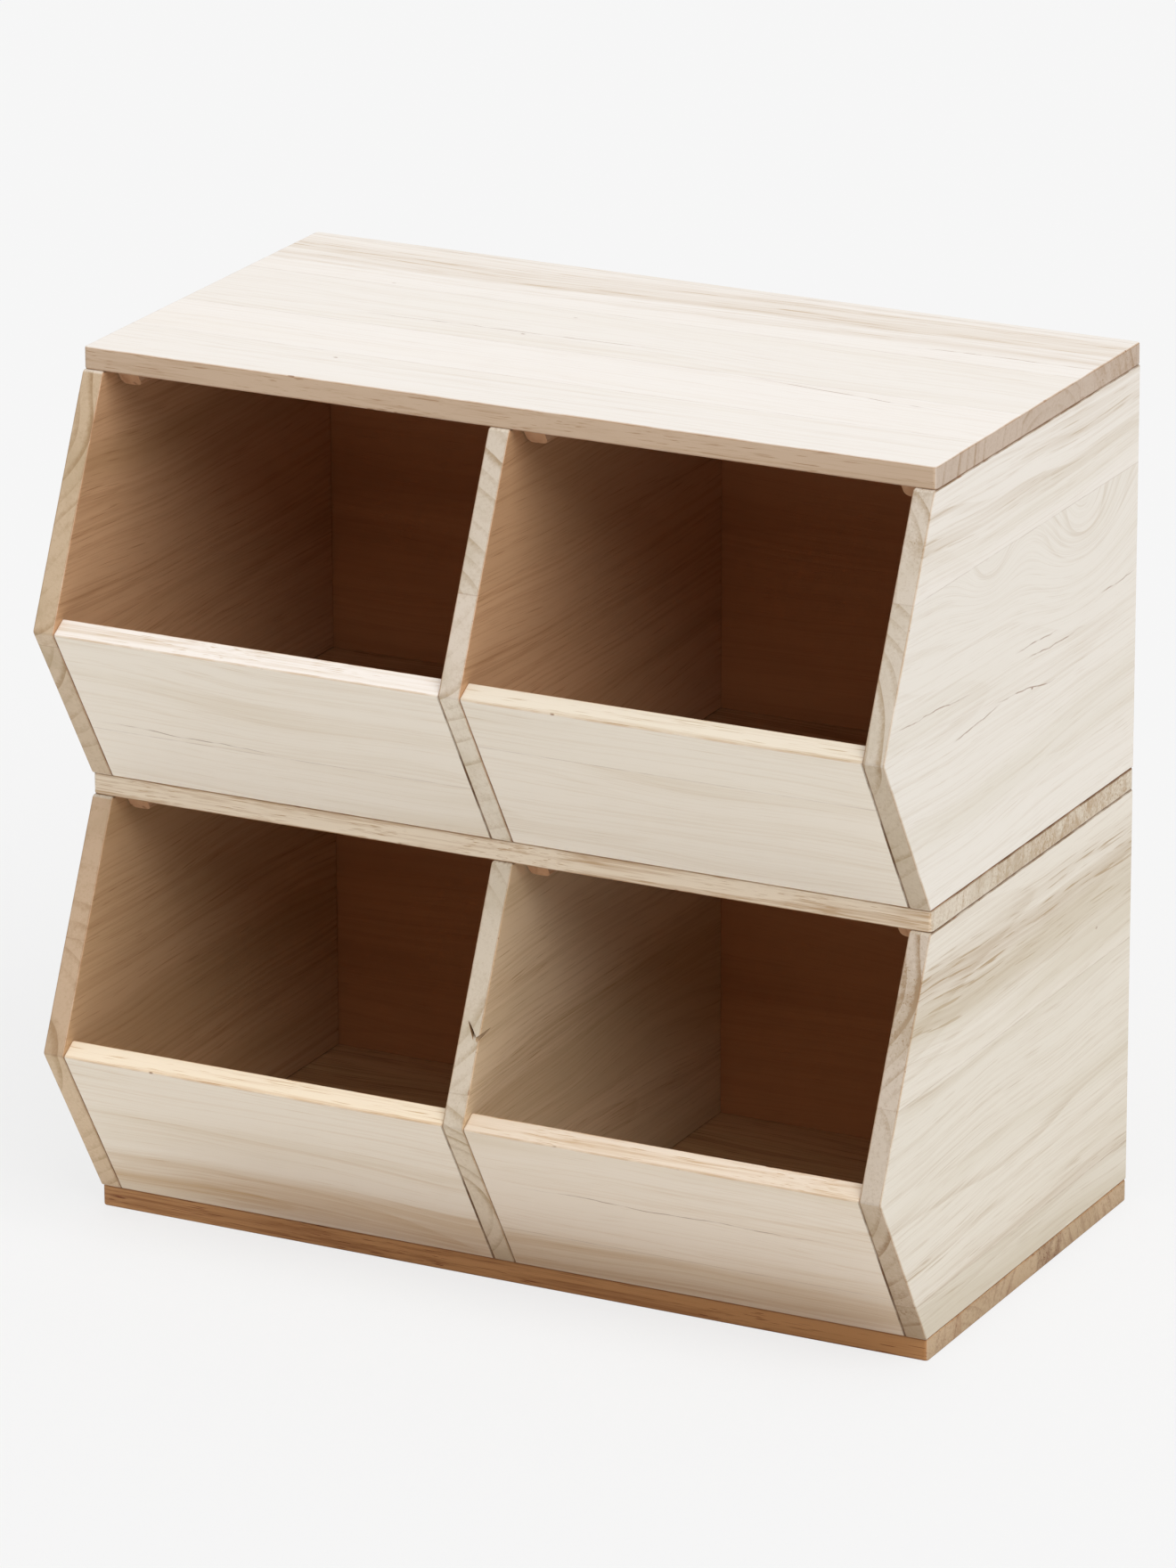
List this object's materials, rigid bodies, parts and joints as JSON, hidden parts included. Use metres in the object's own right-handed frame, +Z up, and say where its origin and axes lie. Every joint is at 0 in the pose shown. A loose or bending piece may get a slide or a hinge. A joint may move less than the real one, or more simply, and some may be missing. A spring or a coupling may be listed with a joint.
{
  "type": "toy storage organizer with bins",
  "caption": "Stacking children's toy storage in pale wood: open-front crates with knee-shaped sides, slanted front panels and deep bins, under a loose lid board.",
  "frame": {"origin": "middle of the footprint, at the underside of the base board, which rests on the floor", "axes": "+Z up; +X across the bins, to the right as seen from the front; +Y from the open front to the back"},
  "size_m": [0.6, 0.3816, 0.589],
  "materials": {
    "lid_wood": "matte",
    "floor_wood": "matte",
    "base_wood": "matte",
    "upright_wood": "matte",
    "front_panel_wood": "matte",
    "back_panel_wood": "matte",
    "cleat_wood": "matte",
    "dowel_wood": "matte",
    "screw_steel": "satin"
  },
  "bodies": {
    "lower_crate": {"lower_floor_board": "base_wood", "lower_left_side": "upright_wood", "lower_divider": "upright_wood", "lower_right_side": "upright_wood", "lower_back_panel": "back_panel_wood", "lower_left_front_panel": "front_panel_wood", "lower_right_front_panel": "front_panel_wood", "lower_side_dowels": "dowel_wood", "lower_divider_dowels": "dowel_wood", "lower_floor_screws": "screw_steel", "lower_back_screws": "screw_steel"},
    "upper_crate": {"upper_floor_board": "floor_wood", "upper_left_side": "upright_wood", "upper_divider": "upright_wood", "upper_right_side": "upright_wood", "upper_back_panel": "back_panel_wood", "upper_left_front_panel": "front_panel_wood", "upper_right_front_panel": "front_panel_wood", "upper_side_dowels": "dowel_wood", "upper_divider_dowels": "dowel_wood", "upper_floor_screws": "screw_steel", "upper_back_screws": "screw_steel", "upper_floor_cleats": "cleat_wood", "upper_cleat_screws": "screw_steel"},
    "lid": {"lid_board": "lid_wood", "lid_cleats": "cleat_wood", "lid_cleat_screws": "screw_steel"}
  },
  "joints": [
    {"name": "upper_crate_lift", "type": "slide", "parent": "lower_crate", "child": "upper_crate", "axis": [0, 0, 1], "range_m": [0, 0.06]},
    {"name": "lid_lift", "type": "slide", "parent": "upper_crate", "child": "lid", "axis": [0, 0, 1], "range_m": [0, 0.06]}
  ]
}
